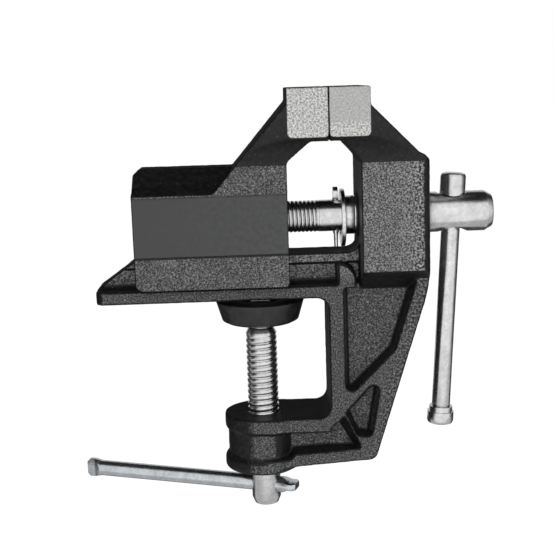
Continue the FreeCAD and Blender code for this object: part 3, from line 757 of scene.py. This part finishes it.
def shaded(shape, node, sharp=SHARP):
    """The finished mesh of a node, smooth across all its edges but the sharp ones."""
    for edge in shape.edges:
        edge.smooth = len(edge.link_faces) == 2 and edge.calc_face_angle(0.0) < sharp
    return to_mesh(shape, node + "_mesh")


def machined_mesh(node, edge):
    """A CAD node with broken edges and smooth rounds."""
    return shaded(bevelled(welded(node), node, edge), node)


def cast_mesh(node, casting):
    """A CAD node as a casting: rounded edges and a slightly uneven skin."""
    shape = modified(
        welded(node), node, "REMESH", mode="VOXEL", voxel_size=casting.grid, adaptivity=0.0
    )
    soft = [vertex for vertex in shape.verts if not at_jaw_face(vertex.co)]
    for _ in range(casting.rounding):
        bmesh.ops.smooth_vert(
            shape, verts=soft, factor=0.5, use_axis_x=True, use_axis_y=True, use_axis_z=True
        )
    mesh = to_mesh(shape, node + "_rounded")
    low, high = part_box(node)
    spots = []
    for vertex in mesh.vertices:
        wave = noise.noise(vertex.co / (WAVE_BROAD * MM))
        wave += WAVE_FINE_SHARE * noise.noise(vertex.co / (WAVE_FINE * MM))
        spot = vertex.co + vertex.normal * wave * casting.waviness
        if node == "frame_casting":
            spot = boss_swell(spot)
        spots.extend(min(max(part, a), b) for part, a, b in zip(spot, low, high))
    mesh.vertices.foreach_set("co", spots)
    return mesh


def at_jaw_face(spot):
    """Whether a point is on the narrow rim where the jaws meet, which stays sharp."""
    above = spot.z > (JAW_HEAD_LOW - JAW_RIM_BELOW) * MM
    return above and abs(spot.x - JAW_PLANE * MM) < JAW_RIM * MM


def eased(value, low, high):
    """0 below low, 1 above high, and a smooth slope between them."""
    part = min(1.0, max(0.0, (value - low) / (high - low)))
    return part * part * (3 - 2 * part)


def boss_swell(spot):
    """Where a point of the frame goes when the boss is a little stouter than machined."""
    reach = math.hypot(spot.x, spot.y) / MM
    share = (
        eased(reach, *BOSS_BORE)
        * (1 - eased(reach, *BOSS_RIM))
        * (1 - eased(spot.x / MM, *BOSS_RIGHT))
        * (1 - eased(spot.z / MM, *BOSS_TOP))
    )
    grown = 1 + BOSS_GROWTH * share
    return Vector((spot.x * grown, spot.y * grown, spot.z))


def groove_depth(turn):
    """How deep the groove is at a part of a turn: a broad round crest and a narrow root."""
    away = abs((turn % 1.0) - 0.5) * 2
    return max(0.0, (away - THREAD_CREST) / (1.0 - THREAD_CREST)) ** THREAD_FLANK


def add_thread(shape, start, end, radius, pitch, depth, stand):
    """Adds a right-hand thread along Z, closed at both ends, and turns it into its stand."""
    rows = round((end - start) / pitch * THREAD_ROWS)
    step = (end - start) / rows
    rings = []
    for row in range(rows + 1):
        height = start + row * step
        fade = min(1.0, (height - start) / pitch, (end - height) / pitch)
        ring = []
        for part in range(THREAD_AROUND):
            angle = 2 * math.pi * part / THREAD_AROUND
            groove = groove_depth(height / pitch - part / THREAD_AROUND)
            reach = radius - depth * (groove * fade + THREAD_RUN_OUT * (1 - fade))
            spot = Vector((reach * math.cos(angle), reach * math.sin(angle), height))
            ring.append(shape.verts.new(stand @ spot))
        rings.append(ring)
    for lower, upper in zip(rings, rings[1:]):
        for part in range(THREAD_AROUND):
            other = (part + 1) % THREAD_AROUND
            shape.faces.new((lower[part], lower[other], upper[other], upper[part]))
    shape.faces.new(rings[0][::-1])
    shape.faces.new(rings[-1])


def clear_stretch(shape, axis, low, high):
    """Removes a CAD screw's plain cylinder between two levels and closes what is left."""
    low, high = low - SLACK * MM, high + SLACK * MM
    faces = [
        face
        for face in shape.faces
        if all(low < vertex.co[axis] < high for vertex in face.verts)
    ]
    bmesh.ops.delete(shape, geom=faces, context="FACES")
    close_holes(shape)


def screw_mesh(node, axis, low, high, pitch, depth, radius, edge):
    """A CAD screw with a real thread in the place of its plain stretch."""
    shape = welded(node)
    clear_stretch(shape, axis, low, high)
    shape = bevelled(shape, node, edge)
    stand = Matrix.Identity(4)
    if axis == 0:
        stand = Matrix.Translation((0, 0, MAIN_AXIS_Z * MM)) @ Matrix.Rotation(
            math.pi / 2, 4, "Y"
        )
    add_thread(shape, low, high, radius, pitch, depth, stand)
    return shaded(shape, node, SHARP_ON_THREAD)


def clamp_bar_mesh(edge):
    """The clamp screw's bar, with the flat at its short end a quarter turn from the other."""
    low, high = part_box("clamp_bar")
    along = Vector((math.cos(CLAMP_BAR_TURN), math.sin(CLAMP_BAR_TURN), 0.0))
    middle = Vector((0.0, 0.0, (low.z + high.z) / 2))
    cut = middle + along * CLAMP_BAR_CUT * MM
    shape = bevelled(welded("clamp_bar"), "clamp_bar", edge)
    everything = shape.verts[:] + shape.edges[:] + shape.faces[:]
    bmesh.ops.bisect_plane(shape, geom=everything, plane_co=cut, plane_no=along)

    def short_end():
        """The faces beyond the cut, which are other faces once they are split off."""
        return [
            face for face in shape.faces if (face.calc_center_median() - cut).dot(along) > 0
        ]

    bmesh.ops.split(shape, geom=short_end())
    bmesh.ops.rotate(
        shape,
        verts=list({vertex for face in short_end() for vertex in face.verts}),
        cent=middle,
        matrix=Matrix.Rotation(math.pi / 2, 3, along),
    )
    close_holes(shape)
    return shaded(shape, "clamp_bar")


# ---------------------------------------------------------------- operators
class VISE_OT_castings(bpy.types.Operator):
    """Builds the frame casting and the moving jaw"""

    bl_idname = "vise.castings"
    bl_label = "Castings"

    def execute(self, context):
        casting = context.scene.vise_casting
        for node, body, on_jaw in (
            ("frame_casting", "frame", False),
            ("moving_jaw", "moving_jaw", True),
        ):
            paint = cast_finish(node + "_paint", casting, on_jaw)
            mesh = cast_mesh(node, casting)
            add_piece(node + "_cast", mesh, body, paint, node)
        return {"FINISHED"}


class VISE_OT_screws(bpy.types.Operator):
    """Builds the main screw and the clamp screw with their threads"""

    bl_idname = "vise.screws"
    bl_label = "Screws"

    def execute(self, context):
        screws = context.scene.vise_screws
        edge = context.scene.vise_small.edge
        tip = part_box("main_screw")[0].x
        main = (tip, MAIN_THREAD_END * MM, screws.main_pitch, screws.main_depth)
        clamp = (
            CLAMP_THREAD_LOW * MM,
            CLAMP_THREAD_TOP * MM,
            screws.clamp_pitch,
            screws.clamp_depth,
        )
        for node, axis, thread, radius in (
            ("main_screw", 0, main, MAIN_RADIUS * MM),
            ("clamp_screw", 2, clamp, CLAMP_RADIUS * MM),
        ):
            zinc = turned_finish(node + "_zinc", screws.zinc, axis)
            mesh = screw_mesh(node, axis, *thread, radius, edge)
            add_piece(node + "_threaded", mesh, node, zinc, node)
        return {"FINISHED"}


class VISE_OT_small_parts(bpy.types.Operator):
    """Builds the bars, caps, washers, split pin, nut, ring and pad"""

    bl_idname = "vise.small_parts"
    bl_label = "Bars, washers and pad"

    def execute(self, context):
        small = context.scene.vise_small
        zinc = context.scene.vise_screws.zinc
        along_x = turned_finish("washer_zinc", zinc, 0)
        upright = turned_finish("bar_zinc", zinc, 2)
        blue = turned_finish("clamp_bar_zinc", small.bar_zinc, 2)
        steel = turned_finish("plain_steel", small.steel, 0, worn=0.8)
        black = pad_finish("pad_enamel", small.pad)
        for node, body, finish, slot in (
            ("jaw_nut", "moving_jaw", steel, "plain_steel"),
            ("nut_lock_pin", "moving_jaw", steel, "plain_steel"),
            ("split_pin", "main_screw", upright, "zinc_steel"),
            ("spacer_collar", "main_screw", along_x, "zinc_steel"),
            ("thrust_washer", "frame", along_x, "zinc_steel"),
            ("shim_washer", "frame", along_x, "zinc_steel"),
            ("main_bar", "main_bar", upright, "zinc_steel"),
            ("main_bar_cap_upper", "main_bar", upright, "zinc_steel"),
            ("main_bar_cap_lower", "main_bar", upright, "zinc_steel"),
            ("clamp_bar", "clamp_bar", blue, "zinc_steel"),
            ("pad_retaining_ring", "pad_carrier", steel, "plain_steel"),
            ("swivel_pad", "swivel_pad", black, "satin_black"),
        ):
            low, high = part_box(node)
            edge = min(small.edge, EDGE_SHARE * min(high - low))
            mesh = clamp_bar_mesh(edge) if node == "clamp_bar" else machined_mesh(node, edge)
            add_piece(node + "_made", mesh, body, finish, node)
        return {"FINISHED"}


class VISE_OT_stage(bpy.types.Operator):
    """Sets up the floor, the lights and the camera"""

    bl_idname = "vise.stage"
    bl_label = "Stage"

    def execute(self, context):
        scene = context.scene
        stage = scene.vise_stage
        scene.view_settings.view_transform = "Standard"
        self.floor(stage)
        self.world(scene, stage)
        self.lights(stage)
        self.cards(stage)
        self.camera(scene, stage)
        return {"FINISHED"}

    def sheet(self, name, low, high, material):
        """Puts an upright or level rectangle between two corners on the stage."""
        low, high = Vector(low), Vector(high)
        thin = min(range(3), key=lambda axis: high[axis] - low[axis])
        one, two = (axis for axis in range(3) if axis != thin)
        shape = bmesh.new()
        corners = []
        for first, second in ((low, low), (high, low), (high, high), (low, high)):
            spot = low.copy()
            spot[one] = first[one]
            spot[two] = second[two]
            corners.append(shape.verts.new(spot))
        shape.faces.new(corners)
        sheet = bpy.data.objects.new(name, to_mesh(shape, name, smooth=False))
        sheet.data.materials.append(material)
        bpy.context.scene.collection.objects.link(sheet)
        return sheet

    def floor(self, stage):
        """A level floor some way below the vise, as white as the space behind it."""
        paint = Finish("floor")
        backdrop = rgba(stage.backdrop)
        matt = paint.coat(Base_Color=backdrop, Roughness=0.9, Specular_IOR_Level=0.0)
        glow = paint.node("ShaderNodeEmission", None, {"Color": backdrop, "Strength": FLOOR_GLOW})
        share = paint.seen_directly() * FLOOR_GLOW_SHARE
        both = paint.node("ShaderNodeMixShader", None, {0: share, 1: matt, 2: glow})
        level = CAD_BOX[0].z - FLOOR_DROP
        self.sheet(
            "floor",
            (-FLOOR_REACH, -FLOOR_REACH, level),
            (FLOOR_REACH, FLOOR_REACH, level),
            paint.cover(both),
        )

    def world(self, scene, stage):
        """A white space to look at, and a softer light from all round."""
        scene.world = bpy.data.worlds.new("studio")
        scene.world.use_nodes = True
        space = Nodes(scene.world.node_tree)
        seen = space.node("ShaderNodeBackground", None, {"Color": rgba(stage.backdrop)})
        fill = space.node("ShaderNodeBackground", None, {"Strength": stage.fill})
        share = space.seen_directly()
        both = space.node("ShaderNodeMixShader", None, {0: share, 1: fill, 2: seen})
        space.node("ShaderNodeOutputWorld", None, {"Surface": both})

    def lights(self, stage):
        """Soft lamps, some of them for the plated steel alone."""
        bright = bpy.data.collections.new("bright_metal")
        dull = bpy.data.collections.new("dull_surfaces")
        for piece in bpy.data.objects:
            if piece.type == "MESH":
                plated = any("zinc" in m.name for m in piece.data.materials if m)
                (bright if plated else dull).objects.link(piece)
        receivers = {"all": None, "bright": bright, "dull": dull}
        for name, spot, width, share, mirrored, lit in LAMPS:
            lamp = bpy.data.lights.new(name, "AREA")
            lamp.size = width
            lamp.energy = stage.key_power * share
            holder = bpy.data.objects.new(name, lamp)
            holder.location = spot
            holder.rotation_mode = "QUATERNION"
            ahead = Vector(LAMP_AIM) - holder.location
            holder.rotation_quaternion = ahead.to_track_quat("-Z", "Y")
            holder.visible_glossy = mirrored
            holder.light_linking.receiver_collection = receivers[lit]
            bpy.context.scene.collection.objects.link(holder)

    def cards(self, stage):
        """Dark and grey cards round the vise, which only its polished metal mirrors."""
        for name, shade, low, high in CARDS:
            paint = Finish(name)
            tint = (*[stage.card * shade] * 3, 1.0)
            glow = paint.node("ShaderNodeEmission", None, {"Color": tint})
            card = self.sheet(name, low, high, paint.cover(glow))
            card.visible_camera = False
            card.visible_diffuse = False
            card.visible_shadow = False
            card.visible_transmission = False

    def camera(self, scene, stage):
        """The camera, a little to the right of the clamp screw and looking slightly down."""
        ahead = Vector(
            (
                math.sin(CAMERA_YAW) * math.cos(CAMERA_PITCH),
                math.cos(CAMERA_YAW) * math.cos(CAMERA_PITCH),
                -math.sin(CAMERA_PITCH),
            )
        )
        level = Vector((math.cos(CAMERA_YAW), -math.sin(CAMERA_YAW), 0.0))
        above = level.cross(ahead)
        right = level * math.cos(CAMERA_ROLL) - above * math.sin(CAMERA_ROLL)
        up = level * math.sin(CAMERA_ROLL) + above * math.cos(CAMERA_ROLL)
        lens = bpy.data.cameras.new("camera")
        lens.sensor_width = SENSOR_WIDTH
        lens.lens = SENSOR_WIDTH * stage.focal_pixels / stage.frame_pixels
        lens.clip_start = CLIP_START
        holder = bpy.data.objects.new("camera", lens)
        holder.matrix_world = Matrix(
            (
                (right.x, up.x, -ahead.x, CAMERA_ASIDE * MM),
                (right.y, up.y, -ahead.y, -stage.distance),
                (right.z, up.z, -ahead.z, stage.height),
                (0, 0, 0, 1),
            )
        )
        scene.collection.objects.link(holder)
        scene.camera = holder


# ---------------------------------------------------------------- panel and registration
STEPS = (VISE_OT_castings, VISE_OT_screws, VISE_OT_small_parts, VISE_OT_stage)
SETTINGS = {
    "vise_casting": CastingSettings,
    "vise_screws": ScrewSettings,
    "vise_small": SmallPartSettings,
    "vise_stage": StageSettings,
}


class VISE_PT_sidebar(bpy.types.Panel):
    """The vise's settings and the steps that build it"""

    bl_idname = "VISE_PT_sidebar"
    bl_label = "Bench vise"
    bl_space_type = "VIEW_3D"
    bl_region_type = "UI"
    bl_category = "Vise"

    def draw(self, context):
        for name, group in SETTINGS.items():
            box = self.layout.box()
            box.label(text=group.__doc__)
            for prop in group.__annotations__:
                box.prop(getattr(context.scene, name), prop)
        for step in STEPS:
            self.layout.operator(step.bl_idname)


def register():
    for group in SETTINGS.values():
        bpy.utils.register_class(group)
    for step in STEPS:
        bpy.utils.register_class(step)
    bpy.utils.register_class(VISE_PT_sidebar)
    for name, group in SETTINGS.items():
        setattr(bpy.types.Scene, name, PointerProperty(type=group))


def unregister():
    for name in SETTINGS:
        delattr(bpy.types.Scene, name)
    bpy.utils.unregister_class(VISE_PT_sidebar)
    for step in reversed(STEPS):
        bpy.utils.unregister_class(step)
    for group in reversed(SETTINGS.values()):
        bpy.utils.unregister_class(group)


def main():
    """Builds the vise and its stage."""
    register()
    bpy.ops.vise.castings()
    bpy.ops.vise.screws()
    bpy.ops.vise.small_parts()
    bpy.ops.vise.stage()
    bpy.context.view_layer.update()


if __name__ == "__main__":
    main()
